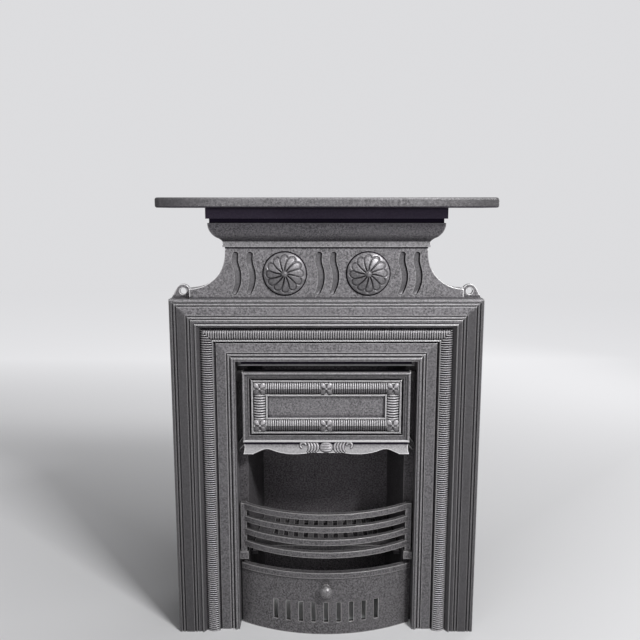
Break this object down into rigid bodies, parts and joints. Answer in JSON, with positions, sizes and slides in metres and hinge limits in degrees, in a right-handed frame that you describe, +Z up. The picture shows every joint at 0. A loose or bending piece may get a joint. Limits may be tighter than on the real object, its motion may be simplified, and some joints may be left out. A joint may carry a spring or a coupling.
{
  "type": "cast iron fireplace surround",
  "caption": "Cast iron combination fireplace: moulded frame with fluted frieze, rosettes and shelf, and a fire opening with swinging smoke hood, damper, lift-out bars, grate and ash cover.",
  "frame": {"origin": "on the hearth, under the middle of the whole object's width and depth", "axes": "+X to the viewer's right, +Y into the chimney, +Z up"},
  "size_m": [0.614, 0.3224, 0.892],
  "materials": {
    "surround_iron": "black-leaded, polished",
    "hood_iron": "black-leaded, polished",
    "fire_iron": "sooty, matt",
    "grate_iron": "black-leaded, worn",
    "hardware_iron": "rubbed bright",
    "fixings": "dark, oiled"
  },
  "bodies": {
    "surround": {"front_frame": "surround_iron", "frieze_panel": "surround_iron", "mantel_shelf": "surround_iron", "cheek_left": "fire_iron", "cheek_right": "fire_iron", "fire_back": "fire_iron", "throat_plate": "fire_iron", "bar_socket_left": "grate_iron", "bar_socket_right": "grate_iron", "hood_hook_left": "hardware_iron", "hood_hook_right": "hardware_iron", "hood_rest_left": "hardware_iron", "hood_rest_right": "hardware_iron", "shelf_bolts": "fixings", "frieze_bolts": "fixings", "frieze_nuts": "fixings", "hook_screws": "fixings", "cheek_bolts": "fixings", "back_bolts": "fixings", "back_nuts": "fixings", "throat_bolts": "fixings", "damper_rod": "fixings", "socket_screws": "fixings"},
    "hood": {"smoke_hood": "hood_iron", "hood_pegs": "hardware_iron"},
    "damper": {"damper_flap": "fire_iron"},
    "bars": {"fire_front": "grate_iron"},
    "grate": {"bottom_grate": "grate_iron"},
    "cover": {"ash_cover": "grate_iron", "ash_cover_knob": "hardware_iron"}
  },
  "joints": [
    {"name": "hood_swing", "type": "hinge", "parent": "surround", "child": "hood", "pos_m": [0, -0.05325, 0.548], "axis": [-1, 0, 0], "range_deg": [0, 25]},
    {"name": "damper_swing", "type": "hinge", "parent": "surround", "child": "damper", "pos_m": [0, 0.10475, 0.5925], "axis": [-1, 0, 0], "range_deg": [0, 70]},
    {"name": "bars_lift", "type": "slide", "parent": "surround", "child": "bars", "axis": [0, 0, 1], "range_m": [0, 0.06]},
    {"name": "grate_lift", "type": "slide", "parent": "surround", "child": "grate", "axis": [0, 0, 1], "range_m": [0, 0.08]},
    {"name": "cover_pull", "type": "slide", "parent": "surround", "child": "cover", "axis": [0, -1, 0], "range_m": [0, 0.2]}
  ]
}
